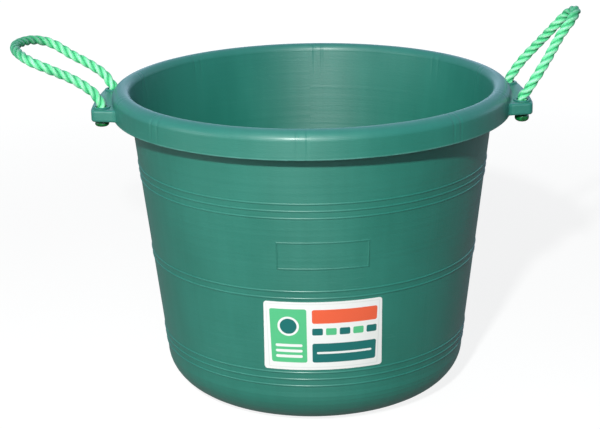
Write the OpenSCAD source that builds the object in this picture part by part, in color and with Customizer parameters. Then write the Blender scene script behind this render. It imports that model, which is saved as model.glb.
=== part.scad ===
// Muck bucket: a round moulded tub with a rolled rim, two rope ears and two rope handles.
// Millimetres, +Z up, origin on the floor under the middle of the tub, ears along X.

/* [Tub] */
// Height of the tub, from the floor to the crest of the rim
tub_h = 430; // [390:5:470]
// Outer radius that the straight wall would have at floor level
wall_foot_r = 204.5; // [190:0.5:220]
// Lean of the wall: radius gained for each millimetre of height
wall_lean = 0.114; // [0.09:0.002:0.14]
// Thickness of the wall, the rim and its skirt
wall_t = 3.2; // [3:0.2:4.6]
// Thickness of the floor
floor_t = 4; // [3:0.5:6]
// Width of the rounded corner between floor and wall
base_round_w = 66; // [50:1:80]
// Height of the rounded corner between floor and wall
base_round_h = 56; // [40:1:60]
// Width of the flat ring that the tub stands on
foot_ring_w = 26; // [15:1:40]
// How far the middle of the floor is raised above that ring
floor_lift = 2.5; // [1:0.5:4]
// Diameter of the moulding mark in the middle of the underside
gate_d = 9; // [6:1:14]
// Height of that mark
gate_h = 0.6; // [0.4:0.1:0.8]

/* [Rim] */
// Reach of the rim outside the wall
rim_reach = 22; // [18:0.5:26]
// Height of the rim, from its crest to the lower edge of its skirt
rim_h = 37; // [34:1:44]
// Width of the inner rounding, from the bore of the tub to the crest
lip_w = 9.6; // [7:0.2:12]
// Height of the inner rounding
lip_h = 11; // [8:0.5:13]
// Height of the outer rounding, from the skirt to the crest
shoulder_h = 13; // [10:0.5:16]
// Thickness of a gusset under the rim
gusset_t = 2.2; // [1.6:0.2:3]
// Distance between the two gussets of a pair, middle to middle
gusset_gap = 12; // [8:1:18]
// How far a gusset ends above the edge of the skirt
gusset_lift = 5; // [2:1:10]

/* [Beads] */
// Height of the lowest bead of the bottom group
bead_low_z = 66.4; // [62:0.2:80]
// Height of the lower bead of the middle group
bead_mid_z = 194.9; // [180:0.1:210]
// Height of the lowest bead of the top group
bead_top_z = 307.3; // [295:0.1:320]
// Distance between beads of one group
bead_pitch = 9.9; // [8:0.1:12]
// Width of a bead
bead_w = 3; // [2:0.2:4]
// Height of a bead above the wall
bead_h = 1; // [0.6:0.1:1.4]

/* [Frame and label] */
// Turn of the frame and label round the tub, from the front towards +X
front_turn = 2.5; // [-10:0.5:10]
// Width of the raised frame
frame_w = 121; // [90:1:140]
// Height of the raised frame
frame_h = 38; // [25:1:45]
// Middle of the raised frame, above the floor
frame_z = 255; // [245:1:270]
// Width of the raised line of the frame
frame_line = 1.4; // [1:0.2:2.4]
// Height of that line above the wall
frame_rise = 0.7; // [0.4:0.1:1.2]
// Width of the label
label_w = 155; // [120:1:170]
// Height of the label
label_h = 99; // [80:1:102]
// Middle of the label, above the floor
label_z = 140.6; // [139:0.2:142]
// Radius of the label's corners
label_corner_r = 4; // [2:0.5:8]
// Thickness of the label
label_t = 0.3; // [0.2:0.1:0.5]

/* [Ears] */
// Drop from the crest of the rim to an ear's top face
ear_drop = 18.6; // [17:0.2:21]
// Thickness of an ear
ear_t = 16.4; // [14:0.2:18]
// Reach of an ear outside the rim, at its middle
ear_reach = 23.8; // [22:0.2:28]
// Inward curve of an ear's outer edge, from its middle to its corners
ear_bow = 3.8; // [2:0.2:6]
// Turn of each ear, with its front corner outwards
ear_turn = 3; // [0:0.5:4]
// Length of an ear along its outer edge
ear_len = 142; // [134:1:152]
// Extra length of an ear where it meets the rim, at each end
ear_flare = 4; // [1:0.5:6]
// Radius of an ear's outer corners
ear_corner_r = 7; // [5:0.5:9]
// Size of the soft turn between the ends of an ear and the rim
ear_root_r = 6; // [3:0.5:8]
// Radius of an ear's top and bottom edges
ear_edge_r = 3; // [1.6:0.2:3.4]
// Thickness of the walls round the pocket under an ear
ear_wall = 3.8; // [3:0.2:5]
// Distance between the two rope holes of an ear
hole_pitch = 106; // [96:1:108]
// Distance from the outer edge of an ear to the middle of its rope holes
hole_inset = 16.3; // [15.5:0.1:17]
// Diameter of a rope hole
hole_d = 16.6; // [15:0.2:17.2]
// Diameter of the raised collar and of the boss round a rope hole
boss_d = 24; // [22:0.5:25]
// Height of the collar above the ear
collar_h = 1.6; // [1:0.2:2.4]
// Thickness of the cross webs in the pocket
web_t = 2.4; // [1.8:0.2:3]

/* [Rope] */
// Diameter of the rope
rope_d = 12.7; // [10:0.1:13.2]
// Height that the straight part of the rope stands above the collar
stand_h = 2.5; // [1:0.5:3]
// Diameter of a fused rope end
knob_d = 19.8; // [18.6:0.2:21]
// Height of the left rope's fused ends
left_knob_h = 9.2; // [8:0.2:12]
// Height of the right rope's fused ends
right_knob_h = 12.4; // [8:0.2:14]
// Gap between the fused ends and the ear
knob_gap = 0.3; // [0.2:0.05:0.5]
// Gap between a loop and the bends that it turns on
loop_gap = 0.1; // [0.05:0.05:0.3]

/* [Hidden] */

tub_green = [0.16, 0.44, 0.36];
rope_green = [0.38, 0.86, 0.55];
knob_green = [0.02, 0.30, 0.13];

// Radius of the wall's outer face at a height
function wall_r(z) = wall_foot_r + wall_lean * z;

// Quarter ellipse about c with half-axes a, from angle a0 to a1, in n steps
function sweep_arc(c, a, a0, a1, n) =
    [for (i = [0:n]) let (t = a0 + (a1 - a0) * i / n) [c[0] + a[0] * cos(t), c[1] + a[1] * sin(t)]];

// Rim
skirt_z = tub_h - rim_h;
lip_z = tub_h - lip_h;
shoulder_z = tub_h - shoulder_h;
bore_r = wall_r(lip_z) - wall_t;
crest_r = bore_r + lip_w;
rim_r = wall_r(skirt_z) + rim_reach + wall_lean * (shoulder_z - skirt_z);
skirt_edge_r = 1.2;

// Base
flat_r = wall_r(base_round_h) - base_round_w;
lift_r = flat_r - foot_ring_w;
base_steps = 14;

// Beads, from the bottom one up
bead_z = [bead_low_z, bead_low_z + bead_pitch, bead_low_z + 2 * bead_pitch,
    bead_mid_z, bead_mid_z + bead_pitch,
    bead_top_z, bead_top_z + bead_pitch, bead_top_z + 2 * bead_pitch];

// Half-round section of the bead at height z
function bead(z) = [for (t = [-90:30:90])
    let (h = z + bead_w / 2 * sin(t)) [wall_r(h) + bead_h * cos(t), h]];

// Section of the tub, from the middle of the floor's underside round to the inside
function tub_section() = concat(
    [[0, floor_lift - gate_h], [gate_d / 2 - gate_h, floor_lift - gate_h], [gate_d / 2, floor_lift]],
    [[lift_r - floor_lift, floor_lift], [lift_r, 0]],
    sweep_arc([flat_r, base_round_h], [base_round_w, base_round_h], -90, 0, base_steps),
    [for (z = bead_z) each bead(z)],
    rim_hollow(0),
    sweep_arc([rim_r - skirt_edge_r, skirt_z + skirt_edge_r], [skirt_edge_r, skirt_edge_r], -90, 0, 3),
    sweep_arc([crest_r, shoulder_z], [rim_r - crest_r, shoulder_h], 0, 90, 12),
    sweep_arc([crest_r, lip_z], [lip_w, lip_h], 100, 180, 8),
    [for (i = [base_steps:-1:0]) let (t = -90 + 90 * i / base_steps)
        [flat_r + (base_round_w - wall_t) * cos(t), base_round_h + (base_round_h - floor_t) * sin(t)]],
    [[lift_r, floor_t], [lift_r - floor_lift, floor_t + floor_lift], [0, floor_t + floor_lift]]);

// Section of the hollow under the rim, from the wall over to the skirt, grown by g into the material
function rim_hollow(g) =
    let (top = tub_h - wall_t + g, out_r = rim_r - wall_t + g)
    concat([[wall_r(skirt_z) - g, skirt_z], [wall_r(lip_z) - g, lip_z]],
        sweep_arc([crest_r, lip_z], [crest_r - wall_r(lip_z) + g, top - lip_z], 170, 90, 5),
        sweep_arc([crest_r, shoulder_z], [out_r - crest_r, top - shoulder_z], 80, 0, 8),
        [[out_r, skirt_z]]);

// Gussets in pairs: every eighth of a turn but under the ears, and at both ends of each ear
ear_end_turn = 17;
gusset_turns = concat([for (i = [0:7]) if (i % 4 != 0) i * 45],
    [for (side = [0, 180]) for (s = [-1, 1]) side + s * ear_end_turn]);

module gussets() {
    intersection() {
        rotate_extrude($fn = 180) polygon(rim_hollow(wall_t / 3));
        for (turn = gusset_turns) for (s = [-1, 1])
            rotate([0, 0, turn])
                translate([wall_foot_r, s * gusset_gap / 2 - gusset_t / 2, skirt_z + gusset_lift])
                    cube([rim_r - wall_foot_r, gusset_t, rim_h]);
    }
}

// Ears
ear_top_z = tub_h - ear_drop;
ear_bottom_z = ear_top_z - ear_t;
ear_x = rim_r + ear_reach;
hole_x = ear_x - hole_inset;
hole_y = hole_pitch / 2;
collar_z = ear_top_z + collar_h;
// The outer edge is an arc through the middle and both corners
ear_arc_r = (pow(ear_len / 2, 2) + ear_bow * ear_bow) / (2 * ear_bow);
// Radii of an ear's roots and of its inner side, both inside the wall of the skirt
root_r = rim_r - 0.35 * wall_t;
inner_r = rim_r - 0.8 * wall_t;

// Place p turned by a about the middle between the rope holes
function turned(p, a) = let (x = p[0] - hole_x, y = p[1])
    [hole_x + x * cos(a) - y * sin(a), x * sin(a) + y * cos(a)];
// Middle of the rope hole at side s
function hole_at(s, a) = turned([hole_x, s * hole_y], a);

// Quarter turn from a to c that leaves along a-b and arrives along b-c, in n steps
function soft_turn(a, b, c, n) =
    [for (i = [0:n]) let (t = i / n) (1 - t) * (1 - t) * a + 2 * t * (1 - t) * b + t * t * c];

// Point on a circle of radius r about the tub's middle, y along the ear
function round_at(r, y) = [sqrt(r * r - y * y), y];

// Half of an ear's outline at side s, drawn in by d: rounded corner, straight end and soft turn into the rim
function ear_end(s, d, a) =
    let (c = [ear_x - ear_bow - ear_corner_r, ear_len / 2 - ear_corner_r], r = ear_corner_r - d,
        corner = [for (t = [5:13:83]) turned([c[0] + r * cos(t), s * (c[1] + r * sin(t))], a)],
        end_y = ear_len / 2 + ear_flare - d, foot = round_at(root_r, s * end_y), way = corner[6] - foot)
    concat(corner,
        soft_turn(foot + way * ear_root_r / norm(way), foot, round_at(root_r, s * (end_y + ear_root_r)), 4));

// Outer side of an ear that points along +X, drawn in by d, from its front root to its back root
function ear_side(d, a) =
    let (front_end = ear_end(-1, d, a), n = len(front_end) - 1)
    concat([for (i = [n:-1:0]) front_end[i]],
        [for (i = [-4:4]) let (y = i * (ear_len / 2 - 2 * ear_corner_r) / 4)
            turned([ear_x - d - ear_arc_r + sqrt(ear_arc_r * ear_arc_r - y * y), y], a)],
        ear_end(1, d, a));

// Whole outline: the outer side, and back along the inner side in as many points
function ear_outline(d, a) =
    let (side = ear_side(d, a), n = len(side) - 1)
    concat(side, [for (i = [n:-1:0]) round_at(inner_r, side[n][1] * (2 * i / n - 1))]);

// Solid through equal rings of points. Each end is closed by a strip between the ring's first and second half
module loft(rings) {
    n = len(rings[0]);
    last = len(rings) - 1;
    polyhedron(
        points = [for (ring = rings) each ring],
        faces = concat(
            [for (i = [0:n / 2 - 2]) each [[i, i + 1, n - 2 - i], [i, n - 2 - i, n - 1 - i]]],
            [for (i = [0:n / 2 - 2]) let (a = last * n)
                each [[a + i, a + n - 2 - i, a + i + 1], [a + i, a + n - 1 - i, a + n - 2 - i]]],
            [for (k = [0:last - 1]) for (i = [0:n - 1]) let (j = (i + 1) % n, a = k * n)
                each [[a + i, a + n + j, a + j], [a + i, a + n + i, a + n + j]]]));
}

// Body of an ear with rounded top and bottom edges
module ear_body(a) {
    edge = [for (t = [0:30:90]) [ear_edge_r * (1 - sin(t)), ear_edge_r * (1 - cos(t))]];
    low = [for (e = edge) [e[0], ear_bottom_z + e[1]]];
    high = [for (i = [len(edge) - 1:-1:0]) [edge[i][0], ear_top_z - edge[i][1]]];
    loft([for (k = concat(low, high)) [for (p = ear_outline(k[0], a)) [p[0], p[1], k[1]]]]);
}

// Pocket under an ear, round the bosses and between the cross webs
module ear_pocket(a) {
    difference() {
        translate([0, 0, ear_bottom_z - 1])
            linear_extrude(ear_t - ear_wall + 1) polygon(ear_outline(ear_wall, a));
        translate([0, 0, ear_bottom_z - 2]) cylinder(r = rim_r, h = ear_t + 4, $fn = 180);
        for (s = [-1, 1]) {
            translate(concat(hole_at(s, a), ear_bottom_z - 2)) cylinder(d = boss_d, h = ear_t, $fn = 64);
            translate([rim_r - 10, s * hole_y / 3 - web_t / 2, ear_bottom_z - 2]) cube([60, web_t, ear_t]);
        }
    }
}

// Raised collar round a rope hole, with a soft upper edge
module collar() {
    r = boss_d / 2;
    translate([0, 0, ear_top_z]) rotate_extrude($fn = 64)
        polygon([[0, -1], [r, -1], [r, collar_h / 2], [r - collar_h / 2, collar_h], [0, collar_h]]);
}

module ear(a) {
    difference() {
        union() {
            ear_body(a);
            for (s = [-1, 1]) translate(concat(hole_at(s, a), 0)) collar();
        }
        ear_pocket(a);
        for (s = [-1, 1])
            translate(concat(hole_at(s, a), ear_bottom_z - 2)) cylinder(d = hole_d, h = ear_t + 10, $fn = 64);
    }
}

// Rounded rectangle, w wide and h high, about the origin
module rounded_plate(w, h, r) {
    square([w - 2 * r, h], center = true);
    square([w, h - 2 * r], center = true);
    for (x = [-1, 1]) for (y = [-1, 1])
        translate([x * (w / 2 - r), y * (h / 2 - r)]) circle(r = r, $fn = 48);
}

// What its flat children cover of a skin on the wall, from in to out above the wall, between two heights
module on_wall(z, h, in, out) {
    lo = z - h / 2 - 2;
    hi = z + h / 2 + 2;
    intersection() {
        rotate_extrude($fn = 180) polygon([[wall_r(lo) + in, lo], [wall_r(lo) + out, lo],
            [wall_r(hi) + out, hi], [wall_r(hi) + in, hi]]);
        rotate([0, 0, front_turn]) translate([0, 0, z]) rotate([90, 0, 0])
            linear_extrude(wall_r(hi) + 20) children();
    }
}

module frame_line_plate() {
    difference() {
        rounded_plate(frame_w, frame_h, 1.6);
        square([frame_w - 2 * frame_line, frame_h - 2 * frame_line], center = true);
    }
}

module tub() {
    color(tub_green) {
        rotate_extrude($fn = 180) polygon(tub_section());
        gussets();
        ear(ear_turn);
        rotate([0, 0, 180]) ear(-ear_turn);
        on_wall(frame_z, frame_h, -wall_t / 4, frame_rise) frame_line_plate();
    }
}

label_gap = 0.3;

module label() {
    color("white") on_wall(label_z, label_h, label_gap, label_gap + label_t)
        rounded_plate(label_w, label_h, label_corner_r);
}

// Rope, first its two straight legs in the holes
knob_top_z = ear_bottom_z - knob_gap;
leg_top_z = collar_z + stand_h;

// Half of each rope's route, from its leg out to the tip: outwards from the middle between the holes,
// to the side, and up from the crest of the rim, on an ear with holes route_pitch apart
route_pitch = 106;
left_route = [[4.5, 54, -7], [8.5, 55.5, 0], [14.5, 56.5, 6], [24.5, 57.5, 13.5], [36.5, 58.5, 21],
    [50.5, 60.5, 28.5], [64.5, 65.5, 36], [76.5, 69.5, 42.5], [86.5, 69.5, 47], [96.5, 64, 51],
    [105.5, 54, 54], [113.5, 39, 56], [119.5, 21, 57], [122, 0, 57.5]];
right_route = [[3.5, 54.5, -9], [8, 57.5, -2.5], [13.5, 58.5, 6], [21, 57.5, 16.5], [28.5, 54.5, 26.5],
    [35.5, 49.5, 36], [42.5, 42.5, 46], [49.5, 35.5, 56], [55.5, 30, 64.5], [62.5, 26, 73.5],
    [70.5, 22, 83], [77, 12.5, 90], [80, 0, 92.5]];
left_tilt = 30;
right_tilt = 55;
// The rope turns freely between its leg and this point of its route
turn_at = 1;
rope_sides = 10;

// Ring of the rope about p, square to direction d, with its first corner towards the loop's own upper side
function rope_ring(p, d, tilt) =
    let (up = [-sin(tilt), 0, cos(tilt)], t = d / norm(d), u0 = up - (up * t) * t,
        u = u0 / norm(u0), v = cross(t, u))
    [for (i = [0:rope_sides - 1]) let (a = 360 * i / rope_sides)
        p + rope_d / 2 * (cos(a) * u + sin(a) * v)];

// Rings along the points of a path, with the given directions at both ends
function rope_rings(path, start, end, tilt) =
    let (n = len(path) - 1)
    [for (i = [0:n]) rope_ring(path[i],
        i == 0 ? start : i == n ? end : path[i + 1] - path[i - 1], tilt)];

// A point of a route at side s. Low down it follows the turn of the ear, and turn_fade above the leg no more
turn_fade = 44;
function turn_share(z) = max(0, 1 - (z - leg_top_z) / turn_fade);
function placed(p, s) = let (z = tub_h + p[2])
    [hole_x + p[0] - s * hole_y * sin(ear_turn) * turn_share(z), s * p[1] * hole_pitch / route_pitch, z];

// From the leg to the turning point at side s
function bend_path(route, s) = concat([concat(hole_at(s, ear_turn), leg_top_z)],
    [for (i = [0:turn_at]) placed(route[i], s)]);

// Direction of the rope at its turning point, and the point where the loop starts just after it
function turn_way(route, s) = placed(route[turn_at + 1], s) - placed(route[turn_at - 1], s);
function loop_start(route, s) = let (way = turn_way(route, s))
    placed(route[turn_at], s) + loop_gap * way / norm(way);

// From the front turning point round the tip to the back one
function loop_path(route) = concat(
    [loop_start(route, -1)],
    [for (i = [turn_at + 1:len(route) - 1]) placed(route[i], -1)],
    [for (i = [len(route) - 2:-1:turn_at + 1]) placed(route[i], 1)],
    [loop_start(route, 1)]);

module bend(route, tilt, s) {
    color(rope_green) loft(rope_rings(bend_path(route, s), [0, 0, 1], turn_way(route, s), tilt));
}

module loop(route, tilt) {
    color(rope_green) loft(rope_rings(loop_path(route), turn_way(route, -1), -turn_way(route, 1), tilt));
}

module leg(s) {
    color(rope_green) translate(concat(hole_at(s, ear_turn), knob_top_z))
        cylinder(d = rope_d, h = leg_top_z - knob_top_z, $fn = 48);
}

// Fused end: a flat shoulder that stops under the ear, full sides and a domed underside
module knob(h, s) {
    color(knob_green) translate(concat(hole_at(s, ear_turn), knob_top_z))
        rotate_extrude($fn = 48) polygon(concat(
            [[0, 0], [knob_d / 2 - 1, 0]],
            sweep_arc([knob_d / 2 - 1, -1.5], [1, 1.5], 60, 0, 2),
            sweep_arc([0, -h * 0.35], [knob_d / 2, h * 0.65], 0, -90, 8)));
}

module left() { mirror([1, 0, 0]) children(); }

tub();
label();
left() knob(left_knob_h, -1);  // left_front_knob
left() knob(left_knob_h, 1);  // left_back_knob
left() leg(-1);  // left_front_leg
left() leg(1);  // left_back_leg
left() bend(left_route, left_tilt, -1);  // left_front_bend
left() bend(left_route, left_tilt, 1);  // left_back_bend
left() loop(left_route, left_tilt);  // left_loop
knob(right_knob_h, -1);  // right_front_knob
knob(right_knob_h, 1);  // right_back_knob
leg(-1);  // right_front_leg
leg(1);  // right_back_leg
bend(right_route, right_tilt, -1);  // right_front_bend
bend(right_route, right_tilt, 1);  // right_back_bend
loop(right_route, right_tilt);  // right_loop
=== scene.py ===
import math

import bpy
import numpy as np
from mathutils import Matrix, Vector


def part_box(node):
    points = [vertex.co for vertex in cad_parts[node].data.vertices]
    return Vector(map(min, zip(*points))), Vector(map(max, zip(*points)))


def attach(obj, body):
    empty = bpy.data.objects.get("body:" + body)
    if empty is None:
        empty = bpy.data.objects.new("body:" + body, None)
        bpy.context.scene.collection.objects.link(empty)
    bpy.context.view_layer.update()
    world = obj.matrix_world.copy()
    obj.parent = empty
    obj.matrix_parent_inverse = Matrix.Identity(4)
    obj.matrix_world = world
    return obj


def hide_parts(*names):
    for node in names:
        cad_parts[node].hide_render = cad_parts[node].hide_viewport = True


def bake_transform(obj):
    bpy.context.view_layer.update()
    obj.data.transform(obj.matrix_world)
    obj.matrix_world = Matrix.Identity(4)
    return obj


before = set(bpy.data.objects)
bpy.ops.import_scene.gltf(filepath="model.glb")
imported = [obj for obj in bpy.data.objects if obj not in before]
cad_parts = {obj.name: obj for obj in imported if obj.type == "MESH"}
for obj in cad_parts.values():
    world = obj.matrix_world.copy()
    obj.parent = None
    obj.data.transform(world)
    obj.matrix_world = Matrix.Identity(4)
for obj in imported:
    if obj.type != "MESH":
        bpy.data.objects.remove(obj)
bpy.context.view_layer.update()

# Camera: turned about its own axis a little, and low over the rim
cameraSet = {
    "place": (-0.01853, -2.27583, 0.95544),
    "down": 17.493,    # degrees below level
    "roll": -0.998,    # degrees
    "lens": 101.36,    # mm on a 36 mm sensor
}


def makeCamera(s):
    # The camera looks along +Y, tipped down, then rolled about its view axis
    down, roll = math.radians(s["down"]), math.radians(s["roll"])
    back = Vector((0, -math.cos(down), math.sin(down)))
    right = Vector((1, 0, 0))
    up = Vector((0, math.sin(down), math.cos(down)))
    rolledRight = right * math.cos(roll) + up * math.sin(roll)
    rolledUp = up * math.cos(roll) - right * math.sin(roll)
    turn = Matrix((rolledRight, rolledUp, back)).transposed().to_4x4()
    data = bpy.data.cameras.new("camera")
    data.lens = s["lens"]
    data.sensor_width = 36
    data.clip_end = 60
    camera = bpy.data.objects.new("camera", data)
    bpy.context.collection.objects.link(camera)
    camera.matrix_world = Matrix.Translation(Vector(s["place"])) @ turn
    bpy.context.scene.camera = camera


makeCamera(cameraSet)
bpy.context.scene.view_settings.view_transform = "Standard"
print("camera set")


def gridMesh(name, points, uv, closeRound=True, capEnds=True):
    # A grid of points (rings, around, xyz) becomes quads between neighbouring rings, with the given uv
    # per corner: uv holds one more column than points where the ring is closed
    rings, around = points.shape[:2]
    i, j = np.meshgrid(np.arange(rings - 1), np.arange(around if closeRound else around - 1), indexing="ij")
    jn = (j + 1) % around
    quads = np.stack([i * around + j, i * around + jn, (i + 1) * around + jn, (i + 1) * around + j], axis=-1)
    faces = quads.reshape(-1, 4).tolist()
    corners = np.stack([uv[i, j], uv[i, j + 1], uv[i + 1, j + 1], uv[i + 1, j]], axis=2).reshape(-1, 2)
    if capEnds:
        faces.append(list(range(around))[::-1])
        faces.append(list(range((rings - 1) * around, rings * around)))
        caps = np.concatenate([uv[0, :around][::-1], uv[-1, :around]])
        corners = np.concatenate([corners, caps])
    mesh = bpy.data.meshes.new(name)
    mesh.from_pydata(points.reshape(-1, 3).tolist(), [], faces)
    layer = mesh.uv_layers.new(name="UVMap")
    layer.data.foreach_set("uv", corners.ravel())
    mesh.polygons.foreach_set("use_smooth", [True] * len(mesh.polygons))
    mesh.update()
    piece = bpy.data.objects.new(name, mesh)
    bpy.context.collection.objects.link(piece)
    return piece


# Rope: one length a side, from fused end to fused end, through both holes of the ear
rope = {
    "diameter": 0.0134,
    "lay": 0.0425,        # length of one full turn of a strand
    "lobeOffset": 0.0025,  # middle of a strand from the middle of the rope
    "ringStep": 0.0008,
    "around": 60,
    "intoKnob": 0.002,
}
crestZ = 0.430                     # height of the rim
holeX, holeY = 0.28154, 0.053      # middle of the rope holes before the ears are turned
earTurn = math.radians(3)          # each ear's front corner stands further out than its back corner
turnFade = 0.044                   # height above the legs over which a loop loses that turn
# Half of each route behind its leg, out to the tip: outwards from the hole, to the side, up from the crest
leftRoute = [(0.0045, 0.054, -0.007), (0.0085, 0.0555, 0), (0.0145, 0.0565, 0.006), (0.0245, 0.0575, 0.0135),
             (0.0365, 0.0585, 0.021), (0.0505, 0.0605, 0.0285), (0.0645, 0.0655, 0.036), (0.0765, 0.0695, 0.0425),
             (0.0865, 0.0695, 0.047), (0.0965, 0.064, 0.051), (0.1055, 0.054, 0.054), (0.1135, 0.039, 0.056),
             (0.1195, 0.021, 0.057), (0.122, 0, 0.0575)]
rightRoute = [(0.0035, 0.0545, -0.009), (0.008, 0.0575, -0.0025), (0.0135, 0.0585, 0.006), (0.021, 0.0575, 0.0165),
              (0.0285, 0.0545, 0.0265), (0.0355, 0.0495, 0.036), (0.0425, 0.0425, 0.046), (0.0495, 0.0355, 0.056),
              (0.0555, 0.030, 0.0645), (0.0625, 0.026, 0.0735), (0.0705, 0.022, 0.083), (0.077, 0.0125, 0.090),
              (0.080, 0, 0.0925)]
leftTilt, rightTilt = 30, 55


def smoothCurve(points, step):
    # Natural cubic spline through the points over chord length, sampled again at even steps of length
    p = np.array(points, float)
    t = np.concatenate([[0], np.cumsum(np.linalg.norm(np.diff(p, axis=0), axis=1))])
    h = np.diff(t)
    n = len(p)
    a = np.eye(n)
    b = np.zeros((n, 3))
    k = np.arange(1, n - 1)
    a[k, k - 1] = h[k - 1]
    a[k, k] = 2 * (h[k - 1] + h[k])
    a[k, k + 1] = h[k]
    b[k] = 6 * ((p[k + 1] - p[k]) / h[k, None] - (p[k] - p[k - 1]) / h[k - 1, None])
    m = np.linalg.solve(a, b)

    def at(x):
        i = np.clip(np.searchsorted(t, x) - 1, 0, n - 2)
        d0, d1, w = x - t[i], t[i + 1] - x, h[i]
        return (m[i] * d1[:, None] ** 3 + m[i + 1] * d0[:, None] ** 3) / (6 * w[:, None]) \
            + (p[i] / w[:, None] - m[i] * w[:, None] / 6) * d1[:, None] \
            + (p[i + 1] / w[:, None] - m[i + 1] * w[:, None] / 6) * d0[:, None]

    fine = at(np.linspace(0, t[-1], 4000))
    run = np.concatenate([[0], np.cumsum(np.linalg.norm(np.diff(fine, axis=0), axis=1))])
    even = np.linspace(0, run[-1], int(run[-1] / step) + 1)
    return np.stack([np.interp(even, run, fine[:, c]) for c in range(3)], axis=1), even


def ropeSurface(name, points, tilt, side):
    # Three round strands side by side, turned about the centre line by a full turn each lay: the radius at an
    # angle is the far side of the nearest strand's circle. Each strand breathes a little along its length
    centre, run = smoothCurve(points, rope["ringStep"])
    tangent = np.gradient(centre, axis=0)
    tangent /= np.linalg.norm(tangent, axis=1)[:, None]
    up = np.array([-side * math.sin(math.radians(tilt)), 0, math.cos(math.radians(tilt))])
    u = up - (tangent @ up)[:, None] * tangent
    u /= np.linalg.norm(u, axis=1)[:, None]
    v = np.cross(tangent, u)
    theta = np.linspace(0, 2 * math.pi, rope["around"], endpoint=False)
    twist = 2 * math.pi * run / rope["lay"]
    local = theta[None, :] - twist[:, None]
    strand = np.floor((local + math.pi / 3) / (2 * math.pi / 3))
    fromStrand = (local + math.pi / 3) % (2 * math.pi / 3) - math.pi / 3
    c = rope["lobeOffset"]
    radius = rope["diameter"] / 2 - c
    breathe = 1 + 0.012 * np.sin(run[:, None] * 171 + strand * 2.1) + 0.01 * np.sin(run[:, None] * 71 - strand * 1.3)
    r = (c * np.cos(fromStrand) + np.sqrt(radius ** 2 - (c * np.sin(fromStrand)) ** 2)) * breathe
    pts = centre[:, None, :] + r[..., None] * (np.cos(theta)[None, :, None] * u[:, None, :]
                                               + np.sin(theta)[None, :, None] * v[:, None, :])
    uRow = np.linspace(0, 1, rope["around"] + 1)
    uv = np.stack(np.broadcast_arrays(uRow[None, :], run[:, None]), axis=-1)
    return gridMesh(name, pts, uv), float(run[-1]), centre


def makeRope(label, side, route, tilt):
    # Up the front leg, round the loop and down the back leg. Above its leg each half leans with its turned ear,
    # and the lean fades out over turnFade
    legLow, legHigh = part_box(label + "_front_leg")
    low, high = legLow[2] - rope["intoKnob"], legHigh[2]

    def half(end):
        low2, high2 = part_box(label + "_" + end + "_leg")
        x, y = abs(low2[0] + high2[0]) / 2, (low2[1] + high2[1]) / 2
        way = -1 if end == "front" else 1
        leg = [(side * x, y, z) for z in np.linspace(low, high, 4)]
        above = []
        for out, along, up in route:
            lean = way * holeY * math.sin(earTurn) * max(0, 1 - (crestZ + up - high) / turnFade)
            above.append((side * (holeX + out - lean), way * along, crestZ + up))
        return leg + above

    front, back = half("front"), half("back")
    piece, length, centre = ropeSurface(label + ".rope", front + back[-2::-1], tilt, side)
    solids = [label + "_" + n for n in ("front_leg", "back_leg", "front_bend", "back_bend", "loop")]
    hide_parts(*solids)
    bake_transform(piece)
    print(label, "rope", round(length, 4))
    return piece


# Fused ends: the melted lump that stops each rope end under its ear
knobSet = {
    "lobes": 0.035,     # how much the three strands still show, as a share of the radius
    "sag": 0.0006,      # a drop of melt low on one side, in metres
    "power": 0.62,      # of the superellipse: lower is squarer
    "rings": 40,
    "around": 64,
}


def meltedKnob(name, node, body, seed):
    # A lump over the node's own height: the profile is a superellipse over the polar angle, three soft lobes and
    # two slow waves run round it, and the underside sags a little to one side. Both poles close in a point
    low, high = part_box(node)
    mid = np.array([(low[0] + high[0]) / 2, (low[1] + high[1]) / 2])
    s = knobSet
    polar = np.linspace(0.0001, math.pi - 0.0001, s["rings"])[:, None]
    theta = np.linspace(0, 2 * math.pi, s["around"], endpoint=False)[None, :]
    across = np.sin(polar) ** s["power"]
    high01 = (1 + np.sign(np.cos(polar)) * np.abs(np.cos(polar)) ** s["power"]) / 2
    maxR = (high[0] - low[0]) / 2
    wave = 1 - s["lobes"] * (1 + np.sin(3 * theta + seed)) / 2 * (1.3 - high01) \
        - 0.02 * (1 + np.sin(5 * theta + 4 * high01 + 2.3 * seed)) / 2
    radius = maxR * across * wave * (0.93 + 0.07 * np.sin(math.pi * np.clip(high01 * 1.15, 0, 1)))
    x = mid[0] + radius * np.cos(theta)
    y = mid[1] + radius * np.sin(theta)
    z = low[2] + (high[2] - low[2]) * high01 + s["sag"] * across * (1 - high01) * (1 + np.sin(theta + seed)) / 2
    pts = np.stack(np.broadcast_arrays(x, y, z), axis=-1)[::-1]
    uRow = np.linspace(0, 1, s["around"] + 1)
    uv = np.stack(np.broadcast_arrays(uRow[None, :], polar[::-1]), axis=-1)
    piece = gridMesh(name, pts, uv)
    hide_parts(node)
    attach(piece, body)
    return piece


knobs = [meltedKnob(side + "_" + end + "_knob.melt", side + "_" + end + "_knob", side + "_rope", seed)
         for side, end, seed in (("left", "front", 0.4), ("left", "back", 2.0),
                                 ("right", "front", 3.9), ("right", "back", 5.2))]
ropes = [makeRope("left", -1, leftRoute, leftTilt), makeRope("right", 1, rightRoute, rightTilt)]
print("ropes and fused ends made")


def newMaterial(name):
    material = bpy.data.materials.new(name)
    material.use_nodes = True
    nodes, links = material.node_tree.nodes, material.node_tree.links
    return material, nodes, links, nodes["Principled BSDF"]


def addNode(nodes, links, kind, inputs=None, **settings):
    # A node with its settings, and inputs given as values or as the sockets that feed them
    node = nodes.new(kind)
    for key, value in settings.items():
        setattr(node, key, value)
    for key, value in (inputs or {}).items():
        if isinstance(value, bpy.types.NodeSocket):
            links.new(value, node.inputs[key])
        else:
            node.inputs[key].default_value = value
    return node


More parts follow.
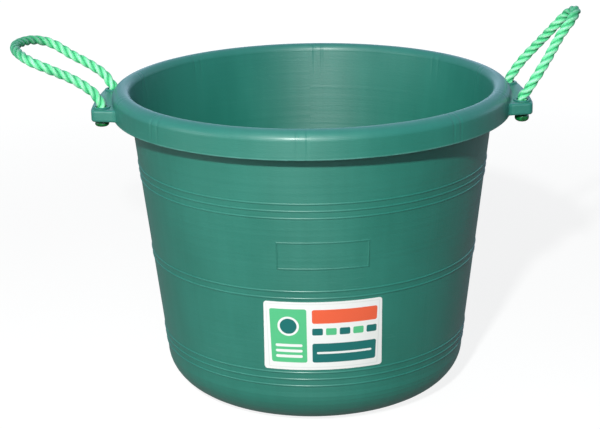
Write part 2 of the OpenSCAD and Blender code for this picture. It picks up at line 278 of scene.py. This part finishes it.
def mathNode(nodes, links, operation, *values):
    return addNode(nodes, links, "ShaderNodeMath", dict(enumerate(values)), operation=operation).outputs[0]


def ramp(nodes, links, factor, stops):
    # A colour or value ramp from (place, value) stops
    node = nodes.new("ShaderNodeValToRGB")
    links.new(factor, node.inputs[0])
    while len(node.color_ramp.elements) < len(stops):
        node.color_ramp.elements.new(0.5)
    for element, (place, value) in zip(node.color_ramp.elements, stops):
        element.position = place
        element.color = (*value, 1) if isinstance(value, tuple) else (value, value, value, 1)
    return node.outputs[0]


def mixColour(nodes, links, factor, first, second, **settings):
    # The first colour, a socket, goes over to the second, a value, by the factor
    node = addNode(nodes, links, "ShaderNodeMix", {0: factor, 6: first, 7: (*second, 1)}, data_type="RGBA", **settings)
    return node.outputs[2]


def objectPlace(nodes):
    return nodes.new("ShaderNodeTexCoord").outputs["Object"]


def splitPlace(nodes, links, place):
    return addNode(nodes, links, "ShaderNodeSeparateXYZ", {0: place}).outputs


def newGroup(name, inputs, outputs):
    group = bpy.data.node_groups.new(name, "ShaderNodeTree")
    for label, kind, default in inputs:
        socket = group.interface.new_socket(name=label, in_out="INPUT", socket_type="NodeSocket" + kind)
        if default is not None:
            socket.default_value = default
    for label, kind in outputs:
        group.interface.new_socket(name=label, in_out="OUTPUT", socket_type="NodeSocket" + kind)
    return group, group.nodes.new("NodeGroupInput").outputs, group.nodes.new("NodeGroupOutput").inputs


def placeGroup(nodes, links, group, inputs):
    node = nodes.new("ShaderNodeGroup")
    node.node_tree = group
    for key, value in inputs.items():
        if isinstance(value, bpy.types.NodeSocket):
            links.new(value, node.inputs[key])
        else:
            node.inputs[key].default_value = value
    return node.outputs


# Grain: fine pits of moulded plastic with a slow unevenness of the sheen over them
def makeGrain():
    group, given, out = newGroup("mouldGrain",
                                 [("Vector", "Vector", None), ("Fine", "Float", 900.0), ("Slow", "Float", 14.0)],
                                 [("Height", "Float"), ("Sheen", "Float")])
    nodes, links = group.nodes, group.links
    fine = addNode(nodes, links, "ShaderNodeTexNoise", {"Vector": given["Vector"], "Scale": given["Fine"],
                                                        "Detail": 2.0, "Roughness": 0.55})
    slow = addNode(nodes, links, "ShaderNodeTexNoise", {"Vector": given["Vector"], "Scale": given["Slow"],
                                                        "Detail": 3.0, "Roughness": 0.5})
    links.new(fine.outputs["Fac"], out["Height"])
    links.new(slow.outputs["Fac"], out["Sheen"])
    return group


# Scuffs: thin pale scratches where two stretched noises nearly meet their middle value, in patches
def makeScuffs():
    group, given, out = newGroup("scuffs",
                                 [("Vector", "Vector", None), ("Patches", "Float", 9.0), ("Amount", "Float", 0.5)],
                                 [("Mask", "Float")])
    nodes, links = group.nodes, group.links
    stretch = addNode(nodes, links, "ShaderNodeMapping", {"Vector": given["Vector"], "Rotation": (0.3, 0.2, 0.5),
                                                          "Scale": (18.0, 18.0, 160.0)})
    lines = addNode(nodes, links, "ShaderNodeTexNoise", {"Vector": stretch.outputs[0], "Scale": 1.0, "Detail": 1.0,
                                                         "Distortion": 0.6})
    near = mathNode(nodes, links, "ABSOLUTE", mathNode(nodes, links, "SUBTRACT", lines.outputs["Fac"], 0.5))
    thin = ramp(nodes, links, near, [(0.0, 1.0), (0.012, 0.0)])
    patch = addNode(nodes, links, "ShaderNodeTexNoise", {"Vector": given["Vector"], "Scale": given["Patches"],
                                                         "Detail": 2.0})
    where = ramp(nodes, links, patch.outputs["Fac"], [(0.55, 0.0), (0.68, 1.0)])
    both = mathNode(nodes, links, "MULTIPLY", thin, where)
    links.new(mathNode(nodes, links, "MULTIPLY", both, given["Amount"]), out["Mask"])
    return group


grainGroup, scuffGroup = makeGrain(), makeScuffs()

# Turning marks: the mould was cut on a lathe, so the grain runs round the object. Its coordinates are the arc length
# and, much finer, the height and the radius
def makeTurned():
    group, given, out = newGroup("turnedGrain",
                                 [("Vector", "Vector", None), ("Along", "Float", 150.0), ("Across", "Float", 850.0),
                                  ("Bands", "Float", 150.0)],
                                 [("Height", "Float"), ("Band", "Float"), ("Streak", "Float")])
    nodes, links = group.nodes, group.links
    xyz = splitPlace(nodes, links, given["Vector"])
    squares = [mathNode(nodes, links, "MULTIPLY", xyz[i], xyz[i]) for i in (0, 1)]
    flat = mathNode(nodes, links, "SQRT", mathNode(nodes, links, "ADD", *squares))
    # The seam of the angle is at the back of the tub; arc length as at a radius of a quarter metre
    arc = mathNode(nodes, links, "MULTIPLY", mathNode(nodes, links, "ARCTAN2", xyz[0],
                   mathNode(nodes, links, "MULTIPLY", xyz[1], -1.0)), 0.25)

    def stretched(along, across):
        spot = nodes.new("ShaderNodeCombineXYZ")
        links.new(mathNode(nodes, links, "MULTIPLY", arc, along), spot.inputs[0])
        links.new(mathNode(nodes, links, "MULTIPLY", xyz[2], across), spot.inputs[1])
        links.new(mathNode(nodes, links, "MULTIPLY", flat, across), spot.inputs[2])
        return spot.outputs[0]

    grain = addNode(nodes, links, "ShaderNodeTexNoise", {"Vector": stretched(given["Along"], given["Across"]),
                                                         "Scale": 1.0, "Detail": 2.0, "Roughness": 0.6})
    bands = addNode(nodes, links, "ShaderNodeTexNoise", {"Vector": stretched(1.2, given["Bands"]), "Scale": 1.0,
                                                         "Detail": 1.0})
    streaks = addNode(nodes, links, "ShaderNodeTexNoise", {"Vector": stretched(70.0, 7.0), "Scale": 1.0,
                                                           "Detail": 2.0})
    links.new(grain.outputs["Fac"], out["Height"])
    links.new(bands.outputs["Fac"], out["Band"])
    links.new(streaks.outputs["Fac"], out["Streak"])
    return group


turnedGroup = makeTurned()

tubLook = {
    "green": (0.0088, 0.165, 0.118),
    "paler": (0.0125, 0.186, 0.135),
    # pale colour of real scuffs, and also of the painted highlight along the skirt's lip
    "scuffAndHighlight": (0.085, 0.30, 0.25),
    "rough": 0.53,
    "roughSpread": 0.05,
    "scuffRough": 0.2,    # added to the roughness where it is scuffed
    "scuffShare": 1.0,    # how pale the scuffs are, and the painted highlight along the lip
    "lipHighlightShare": 0.75,
    "specular": 0.75,
    "coat": (0.28, 0.27),  # weight and roughness
    "grainDepth": 0.00016,
    "bandDepth": 0.00030,
    "sinkDepth": 0.00045,
    "brushed": 0.35,      # how far the sheen spreads across the turning marks
    "gussets": 45.0,      # degrees from one pair of gussets under the rim to the next
    "gussetShift": 3.0,
    "gussetHalf": 1.35,   # half of a pair's own angle
    "earEnd": 17.0,       # degrees from the middle of an ear to the pair at its end
    "frame": (0.121, 0.038, 0.255, 0.2336, 2.5),  # width, height, place above the floor, radius of the wall, turn
    "frameDepth": 0.0005,
    "frameLine": (0.0007, 0.0004, 0.0014),  # how far its middle is inside the edge, and where it starts and ends
    "sinkHeight": (0.375, 0.4295),          # the sinks grow from the skirt's foot to the crest
    "sinkHalf": 0.75,                       # degrees from the middle of a sink to its edge
    "besideEar": 6.0,                       # degrees past the end pair that belong to it
    # height and radius of the painted highlight along the lip
    "lipHighlightHeight": (0.3938, 0.3962),
    "lipHighlightRadius": (0.2695, 0.2715),
}


# Marks of the rim: shallow sinks where the gussets under it pull the surface in, and a painted highlight along the lip
# at the skirt's foot, where its rounded edge catches the light
def makeRimMarks(s):
    group, given, out = newGroup("rimMarks", [("Vector", "Vector", None)],
                                 [("Sink", "Float"), ("LipHighlight", "Float"), ("Frame", "Float")])
    nodes, links = group.nodes, group.links

    def calc(operation, *values):
        return mathNode(nodes, links, operation, *values)

    def fade(value, low, high, atLow, atHigh):
        return addNode(nodes, links, "ShaderNodeMapRange", {0: value, 1: low, 2: high, 3: atLow, 4: atHigh},
                       interpolation_type="SMOOTHSTEP").outputs[0]

    xyz = splitPlace(nodes, links, given["Vector"])
    turn = calc("MULTIPLY", calc("ARCTAN2", xyz[0], calc("MULTIPLY", xyz[1], -1.0)), 180 / math.pi)
    # Degrees from the nearest line of a pair. Beside an ear the pairs stand at its ends
    toPair = calc("WRAP", calc("ADD", turn, s["gussetShift"]), s["gussets"] / 2, -s["gussets"] / 2)
    fromEar = calc("ABSOLUTE", calc("SUBTRACT", calc("ABSOLUTE", turn), 90.0))
    toEnd = calc("SUBTRACT", fromEar, s["earEnd"])
    beside = calc("LESS_THAN", fromEar, s["earEnd"] + s["besideEar"])
    chosen = calc("ADD", calc("MULTIPLY", toEnd, beside), calc("MULTIPLY", toPair, calc("SUBTRACT", 1.0, beside)))
    toLine = calc("ABSOLUTE", calc("SUBTRACT", calc("ABSOLUTE", chosen), s["gussetHalf"]))
    line = fade(toLine, 0.0, s["sinkHalf"], 1.0, 0.0)
    links.new(calc("MULTIPLY", line, fade(xyz[2], *s["sinkHeight"], 0.08, 1.0)), out["Sink"])
    flat = addNode(nodes, links, "ShaderNodeVectorMath", {0: given["Vector"], 1: (1, 1, 0)}, operation="MULTIPLY")
    far = addNode(nodes, links, "ShaderNodeVectorMath", {0: flat.outputs[0]}, operation="LENGTH").outputs["Value"]
    patchy = addNode(nodes, links, "ShaderNodeTexNoise", {"Vector": given["Vector"], "Scale": 45.0,
                                                          "Detail": 2.0}).outputs["Fac"]
    # Painted highlight: a pale line, patchy along its length, on the rounded foot of the skirt
    low = calc("MULTIPLY", fade(xyz[2], *s["lipHighlightHeight"], 1.0, 0.0), fade(far, *s["lipHighlightRadius"], 0.0, 1.0))
    links.new(calc("MULTIPLY", low, fade(patchy, 0.3, 0.6, 0.35, 1.0)), out["LipHighlight"])
    # Distance to the raised frame's line on the unrolled wall
    width, height, middle, radius, aside = s["frame"]
    inset, lineFrom, lineTo = s["frameLine"]
    sideways = calc("MULTIPLY", calc("SUBTRACT", turn, aside), radius * math.pi / 180)
    across = calc("SUBTRACT", calc("ABSOLUTE", sideways), width / 2)
    upright = calc("SUBTRACT", calc("ABSOLUTE", calc("SUBTRACT", xyz[2], middle)), height / 2)
    toFrame = calc("ABSOLUTE", calc("ADD", calc("MAXIMUM", across, upright), inset))
    # Only the front of the outer wall has the frame
    outside = fade(calc("MULTIPLY", xyz[1], -1.0), 0.2, 0.21, 0.0, 1.0)
    links.new(calc("MULTIPLY", fade(toFrame, lineFrom, lineTo, 1.0, 0.0), outside), out["Frame"])
    return group


def makeTubMaterial(s):
    material, nodes, links, shader = newMaterial("tubPlastic")
    place = objectPlace(nodes)
    grain = placeGroup(nodes, links, grainGroup, {"Vector": place, "Fine": 700.0, "Slow": 11.0})
    turned = placeGroup(nodes, links, turnedGroup, {"Vector": place, "Along": 150.0, "Across": 850.0, "Bands": 150.0})
    scuff = placeGroup(nodes, links, scuffGroup, {"Vector": place, "Patches": 7.0, "Amount": 0.3})
    marks = placeGroup(nodes, links, makeRimMarks(s), {"Vector": place})
    cloudy = mathNode(nodes, links, "ADD", mathNode(nodes, links, "MULTIPLY", grain["Sheen"], 0.6),
                      mathNode(nodes, links, "MULTIPLY", turned["Streak"], 0.4))
    colour = ramp(nodes, links, cloudy, [(0.36, s["green"]), (0.64, s["paler"])])
    # Scuffs are real wear; the lip's pale line is a painted highlight, not wear
    for mask, share in ((scuff["Mask"], s["scuffShare"]), (marks["LipHighlight"], s["lipHighlightShare"])):
        colour = mixColour(nodes, links, mathNode(nodes, links, "MULTIPLY", mask, share), colour, s["scuffAndHighlight"])
    links.new(colour, shader.inputs["Base Color"])
    rough = addNode(nodes, links, "ShaderNodeMapRange", {0: grain["Sheen"], 1: 0.3, 2: 0.7,
                                                         3: s["rough"] - s["roughSpread"],
                                                         4: s["rough"] + s["roughSpread"]})
    links.new(mathNode(nodes, links, "ADD", rough.outputs[0], mathNode(nodes, links, "MULTIPLY",
                       scuff["Mask"], s["scuffRough"])),
              shader.inputs["Roughness"])
    wide = addNode(nodes, links, "ShaderNodeBump", {"Height": turned["Band"], "Distance": s["bandDepth"]})
    sunk = addNode(nodes, links, "ShaderNodeBump", {"Height": marks["Sink"], "Distance": s["sinkDepth"],
                                                    "Normal": wide.outputs[0]}, invert=True)
    raised = addNode(nodes, links, "ShaderNodeBump", {"Height": marks["Frame"], "Distance": s["frameDepth"],
                                                      "Normal": sunk.outputs[0]})
    fine = addNode(nodes, links, "ShaderNodeBump", {"Height": turned["Height"], "Distance": s["grainDepth"],
                                                    "Normal": raised.outputs[0]})
    links.new(fine.outputs[0], shader.inputs["Normal"])
    shader.inputs["Specular IOR Level"].default_value = s["specular"]
    shader.inputs["Coat Weight"].default_value = s["coat"][0]
    shader.inputs["Coat Roughness"].default_value = s["coat"][1]
    shader.inputs["Anisotropic"].default_value = s["brushed"]
    shader.inputs["Anisotropic Rotation"].default_value = 0.25
    links.new(addNode(nodes, links, "ShaderNodeTangent", direction_type="RADIAL", axis="Z").outputs[0],
              shader.inputs["Tangent"])
    return material


def dress(node, material):
    # The CAD node keeps its mesh and takes the new material in every slot
    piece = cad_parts[node]
    piece.data.materials.clear()
    piece.data.materials.append(material)


dress("tub", makeTubMaterial(tubLook))
print("tub dressed")

ropeLook = {
    "crownHighlight": (0.44, 0.92, 0.62),     # painted highlight on the crown of a strand
    "bright": (0.20, 0.86, 0.42),
    "middle": (0.080, 0.68, 0.275),
    "grooveShade": (0.025, 0.42, 0.15),    # painted shade between two strands
    "yarns": 40.0,                  # yarns round the rope
    "yarnTurn": 38.0,               # how much faster than the strands the yarns turn, per metre
    # colour the rope is multiplied by towards the tip of each loop
    "tipDarkening": (0.25, 0.42, 0.42),
    "tipDarkSpan": (0.855, 0.905, 0.85),  # metres out plus up where the darkening towards the tip starts and is full, and its share
    "tipDarkEdge": 0.02,               # how ragged its edge is, in metres
    "hairDepth": 0.00035,
    "roughness": 0.5,
    "specular": 0.6,
    "glow": (0.3, 0.003),           # share of light that passes under the surface, and how deep
    "glowColour": (0.4, 1.0, 0.6),
}


def makeRopeMaterial(s):
    # Fibres run a little askew of the strands. The grooves between the strands are painted deep green as shade, and
    # the crowns pale mint as a painted highlight. The strand's own turn comes from the uv: around, less the turns made
    # so far
    material, nodes, links, shader = newMaterial("laidRope")
    uv = addNode(nodes, links, "ShaderNodeSeparateXYZ", {0: nodes.new("ShaderNodeUVMap").outputs[0]}).outputs
    turned = mathNode(nodes, links, "SUBTRACT", uv[0], mathNode(nodes, links, "DIVIDE", uv[1], rope["lay"]))
    third = mathNode(nodes, links, "MULTIPLY", turned, 3.0)
    inStrand = mathNode(nodes, links, "ABSOLUTE", mathNode(nodes, links, "SUBTRACT",
                        mathNode(nodes, links, "FRACT", mathNode(nodes, links, "ADD", third, 0.5)), 0.5))
    yarnAt = mathNode(nodes, links, "ADD", mathNode(nodes, links, "MULTIPLY", uv[0], s["yarns"]),
                      mathNode(nodes, links, "MULTIPLY", uv[1], s["yarnTurn"]))

    def fibre(lengthwise, scale):
        spot = nodes.new("ShaderNodeCombineXYZ")
        links.new(yarnAt, spot.inputs[0])
        links.new(mathNode(nodes, links, "MULTIPLY", uv[1], lengthwise), spot.inputs[1])
        return addNode(nodes, links, "ShaderNodeTexNoise", {"Vector": spot.outputs[0], "Scale": scale, "Detail": 3.0,
                                                            "Roughness": 0.65}).outputs["Fac"]

    hair = fibre(60.0, 1.6)
    tuft = fibre(110.0, 0.35)
    wave = mathNode(nodes, links, "SINE", mathNode(nodes, links, "MULTIPLY", yarnAt, 2 * math.pi))
    depth = mathNode(nodes, links, "ADD", mathNode(nodes, links, "MULTIPLY", wave, 0.2), hair)
    unsteady = mathNode(nodes, links, "ADD",
                        mathNode(nodes, links, "MULTIPLY", mathNode(nodes, links, "SUBTRACT", hair, 0.5), 0.26),
                        mathNode(nodes, links, "MULTIPLY", mathNode(nodes, links, "SUBTRACT", tuft, 0.5), 0.30))
    # Painted light across each strand: the pale crown is a painted highlight, the deep green groove painted shade
    colour = ramp(nodes, links, mathNode(nodes, links, "ADD", inStrand, unsteady),
                  [(0.0, s["crownHighlight"]), (0.2, s["bright"]), (0.38, s["middle"]), (0.5, s["grooveShade"])])
    # Darker towards the tip of the loop: how far out plus how high
    start, full, share = s["tipDarkSpan"]
    spot = splitPlace(nodes, links, objectPlace(nodes))
    outUp = mathNode(nodes, links, "ADD", mathNode(nodes, links, "ABSOLUTE", spot[0]), spot[2])
    ragged = mathNode(nodes, links, "ADD", outUp, mathNode(nodes, links, "MULTIPLY", tuft, s["tipDarkEdge"]))
    tipDarkening = addNode(nodes, links, "ShaderNodeMapRange", {0: ragged, 1: start, 2: full, 3: 0.0, 4: share}).outputs[0]
    links.new(mixColour(nodes, links, tipDarkening, colour, s["tipDarkening"], blend_type="MULTIPLY"), shader.inputs["Base Color"])
    bump = addNode(nodes, links, "ShaderNodeBump", {"Height": depth, "Distance": s["hairDepth"], "Strength": 0.9})
    links.new(bump.outputs[0], shader.inputs["Normal"])
    shader.inputs["Roughness"].default_value = s["roughness"]
    shader.inputs["Specular IOR Level"].default_value = s["specular"]
    shader.inputs["Subsurface Weight"].default_value = s["glow"][0]
    shader.inputs["Subsurface Scale"].default_value = s["glow"][1]
    shader.inputs["Subsurface Radius"].default_value = s["glowColour"]
    return material


ropeMaterial = makeRopeMaterial(ropeLook)
for piece in ropes:
    piece.data.materials.append(ropeMaterial)

knobLook = {
    "dark": (0.0006, 0.075, 0.014),
    "light": (0.003, 0.20, 0.045),
    "lumpDepth": 0.0006,
    "roughness": 0.22,
}


def makeKnobMaterial(s):
    material, nodes, links, shader = newMaterial("meltedRope")
    place = objectPlace(nodes)
    grain = placeGroup(nodes, links, grainGroup, {"Vector": place, "Fine": 900.0, "Slow": 240.0})
    links.new(ramp(nodes, links, grain["Sheen"], [(0.35, s["dark"]), (0.7, s["light"])]), shader.inputs["Base Color"])
    bump = addNode(nodes, links, "ShaderNodeBump", {"Height": grain["Sheen"], "Distance": s["lumpDepth"],
                                                    "Strength": 0.7})
    links.new(bump.outputs[0], shader.inputs["Normal"])
    shader.inputs["Roughness"].default_value = s["roughness"]
    return material


knobMaterial = makeKnobMaterial(knobLook)
for piece in knobs:
    piece.data.materials.append(knobMaterial)
print("ropes dressed")

labelLook = {
    "middle": 141.0,    # mm above the floor
    "turn": 2.5,        # degrees from the front
    "radius": 220.6,    # mm, of the wall there
    "size": (155, 99, 4),  # mm wide, high, and the radius of its corners
    "borderInset": 3.6,
    "borderHalf": 0.3,
    "paper": (0.88, 0.89, 0.88),
    "orange": (0.86, 0.13, 0.055),
    "green": (0.10, 0.55, 0.25),
    "teal": (0.01, 0.16, 0.15),
    "grey": (0.70, 0.73, 0.71),
}


def makeLabelMaterial(s):
    # Plain printed shapes in mm on the unrolled wall: x to the right of the label's middle, z up from it
    material, nodes, links, shader = newMaterial("labelPrint")
    place = objectPlace(nodes)
    xyz = splitPlace(nodes, links, place)

    def calc(operation, *values):
        return mathNode(nodes, links, operation, *values)

    angle = calc("ARCTAN2", xyz[0], calc("MULTIPLY", xyz[1], -1.0))
    x = calc("MULTIPLY", calc("SUBTRACT", angle, math.radians(s["turn"])), s["radius"])
    z = calc("SUBTRACT", calc("MULTIPLY", xyz[2], 1000.0), s["middle"])

    def span(a, b):
        # Length of the vector (a, b)
        return calc("SQRT", calc("ADD", calc("MULTIPLY", a, a), calc("MULTIPLY", b, b)))

    def box(cx, cz, w, h, corner):
        # Signed distance to a rounded rectangle, in mm, negative inside
        dx = calc("SUBTRACT", calc("ABSOLUTE", calc("SUBTRACT", x, cx)), w / 2 - corner)
        dz = calc("SUBTRACT", calc("ABSOLUTE", calc("SUBTRACT", z, cz)), h / 2 - corner)
        far = span(calc("MAXIMUM", dx, 0.0), calc("MAXIMUM", dz, 0.0))
        return calc("SUBTRACT", calc("ADD", far, calc("MINIMUM", calc("MAXIMUM", dx, dz), 0.0)), corner)

    def disc(cx, cz, r):
        return calc("SUBTRACT", span(calc("SUBTRACT", x, cx), calc("SUBTRACT", z, cz)), r)

    def inside(distance, soft=0.25):
        return addNode(nodes, links, "ShaderNodeMapRange", {0: distance, 1: -soft, 2: soft, 3: 1.0, 4: 0.0}).outputs[0]

    base = nodes.new("ShaderNodeRGB")
    base.outputs[0].default_value = (*s["paper"], 1)
    colour = base.outputs[0]

    def paint(mask, tint):
        nonlocal colour
        colour = mixColour(nodes, links, mask, colour, tint)

    width, height, corner = s["size"]
    border = calc("ABSOLUTE", calc("ADD", box(0, 0, width, height, corner), s["borderInset"]))
    paint(inside(calc("SUBTRACT", border, s["borderHalf"])), s["grey"])
    paint(inside(box(-46, 0, 48, 78, 3)), s["green"])
    paint(inside(disc(-46, 14, 14)), s["paper"])
    paint(inside(disc(-46, 14, 11)), s["teal"])
    for k in range(3):
        paint(inside(box(-46, -14 - 8 * k, 36, 4, 2)), s["paper"])
    paint(inside(box(28, 28, 86, 20, 3)), s["orange"])
    for k in range(5):
        paint(inside(box(-8 + 18 * k, 6, 14, 10, 2)), s["teal"] if k % 2 == 0 else s["green"])
    paint(inside(box(28, -25, 86, 28, 3)), s["teal"])
    paint(inside(box(28, -25, 74, 3, 1.5)), s["paper"])
    links.new(colour, shader.inputs["Base Color"])
    grain = placeGroup(nodes, links, grainGroup, {"Vector": place, "Fine": 300.0, "Slow": 22.0})
    bump = addNode(nodes, links, "ShaderNodeBump", {"Height": grain["Sheen"], "Distance": 0.0008, "Strength": 0.5})
    links.new(bump.outputs[0], shader.inputs["Normal"])
    shader.inputs["Roughness"].default_value = 0.3
    return material


dress("label", makeLabelMaterial(labelLook))
print("label dressed")

# Room: a wide pale floor, and a surround that is white to the camera and pale blue in reflections. A small, crisp key
# lamp stands at the front and a little to the left, a smaller front lamp fills it in, and wide soft ones stand at the
# left, the right, the back and above the back
room = {
    "floorWhite": 0.21,
    "glowNear": 0.86,      # what the camera sees of the floor beside the object, where its shadow falls
    "glowFar": 0.97,
    "shine": 0.12,         # and what a glossy surface sees of it
    "fill": 0.016,
    "sky": (0.52, 0.70, 1.0),
    "aim": (0, 0, 0.28),
    # each lamp: degrees from the front towards +X, degrees above level, distance, size, power, colour
    "key": (-11.0, 30.0, 3.6, 0.17, 140, (0.99, 1, 0.98)),
    "left": (-66.0, 12.0, 3.0, 1.4, 18, (1, 1, 0.98)),
    "front": (5.0, 20.0, 3.4, 0.40, 10, (0.90, 0.97, 1.0)),
    "top": (170.0, 50.0, 3.0, 1.6, 5, (0.60, 0.78, 1.0)),
    "back": (180.0, 4.0, 3.2, 1.6, 9, (0.70, 0.85, 1.0)),
    "right": (120.0, 4.0, 3.2, 1.2, 4, (0.70, 0.85, 1.0)),
}


def makeFloor(s):
    # One flat square on the floor plane, 24 m wide. The camera sees it glow, less so near the object
    reach = 12.0
    mesh = bpy.data.meshes.new("floor")
    corners = [(-reach, -reach, 0), (reach, -reach, 0), (reach, reach, 0), (-reach, reach, 0)]
    mesh.from_pydata(corners, [], [(0, 1, 2, 3)])
    floor = bpy.data.objects.new("floor", mesh)
    bpy.context.collection.objects.link(floor)
    material, nodes, links, shader = newMaterial("floorWhite")
    shader.inputs["Base Color"].default_value = (s["floorWhite"],) * 3 + (1,)
    shader.inputs["Roughness"].default_value = 0.9
    shader.inputs["Specular IOR Level"].default_value = 0.0
    light = nodes.new("ShaderNodeLightPath").outputs
    spot = addNode(nodes, links, "ShaderNodeVectorMath", {0: objectPlace(nodes)}, operation="LENGTH").outputs["Value"]
    glow = addNode(nodes, links, "ShaderNodeMapRange", {0: spot, 1: 0.7, 2: 2.4, 3: s["glowNear"], 4: s["glowFar"]},
                   interpolation_type="SMOOTHSTEP").outputs[0]
    links.new(mathNode(nodes, links, "MAXIMUM", mathNode(nodes, links, "MULTIPLY", light["Is Camera Ray"], glow),
                       mathNode(nodes, links, "MULTIPLY", light["Is Glossy Ray"], s["shine"])),
              shader.inputs["Emission Strength"])
    shader.inputs["Emission Color"].default_value = (1, 1, 1, 1)
    floor.data.materials.append(material)


def makeSurround(s):
    world = bpy.data.worlds.new("surround")
    world.use_nodes = True
    bpy.context.scene.world = world
    nodes, links = world.node_tree.nodes, world.node_tree.links
    background = nodes["Background"]
    light = nodes.new("ShaderNodeLightPath").outputs
    seen = mathNode(nodes, links, "MAXIMUM", light["Is Camera Ray"], light["Is Glossy Ray"])
    strength = addNode(nodes, links, "ShaderNodeMapRange", {0: seen, 1: 0.0, 2: 1.0, 3: s["fill"], 4: 1.0})
    links.new(strength.outputs[0], background.inputs["Strength"])
    tint = addNode(nodes, links, "ShaderNodeMix", data_type="RGBA")
    links.new(light["Is Camera Ray"], tint.inputs[0])
    tint.inputs[6].default_value = (*s["sky"], 1)
    tint.inputs[7].default_value = (1, 1, 1, 1)
    links.new(tint.outputs[2], background.inputs["Color"])


def makeLamp(name, s):
    # A square lamp on a circle round the object, facing its middle
    turn, rise, distance, size, power, colour = s[name]
    turn, rise = math.radians(turn), math.radians(rise)
    aim = Vector(s["aim"])
    away = Vector((math.sin(turn) * math.cos(rise), -math.cos(turn) * math.cos(rise), math.sin(rise)))
    data = bpy.data.lights.new(name + "Lamp", "AREA")
    data.size = size
    data.energy = power
    data.color = colour
    lamp = bpy.data.objects.new(name + "Lamp", data)
    bpy.context.collection.objects.link(lamp)
    lamp.location = aim + away * distance
    lamp.rotation_euler = away.to_track_quat("Z", "Y").to_euler()


makeFloor(room)
makeSurround(room)
for lampName in ("key", "left", "front", "top", "back", "right"):
    makeLamp(lampName, room)
print("room lit")

bpy.context.view_layer.update()
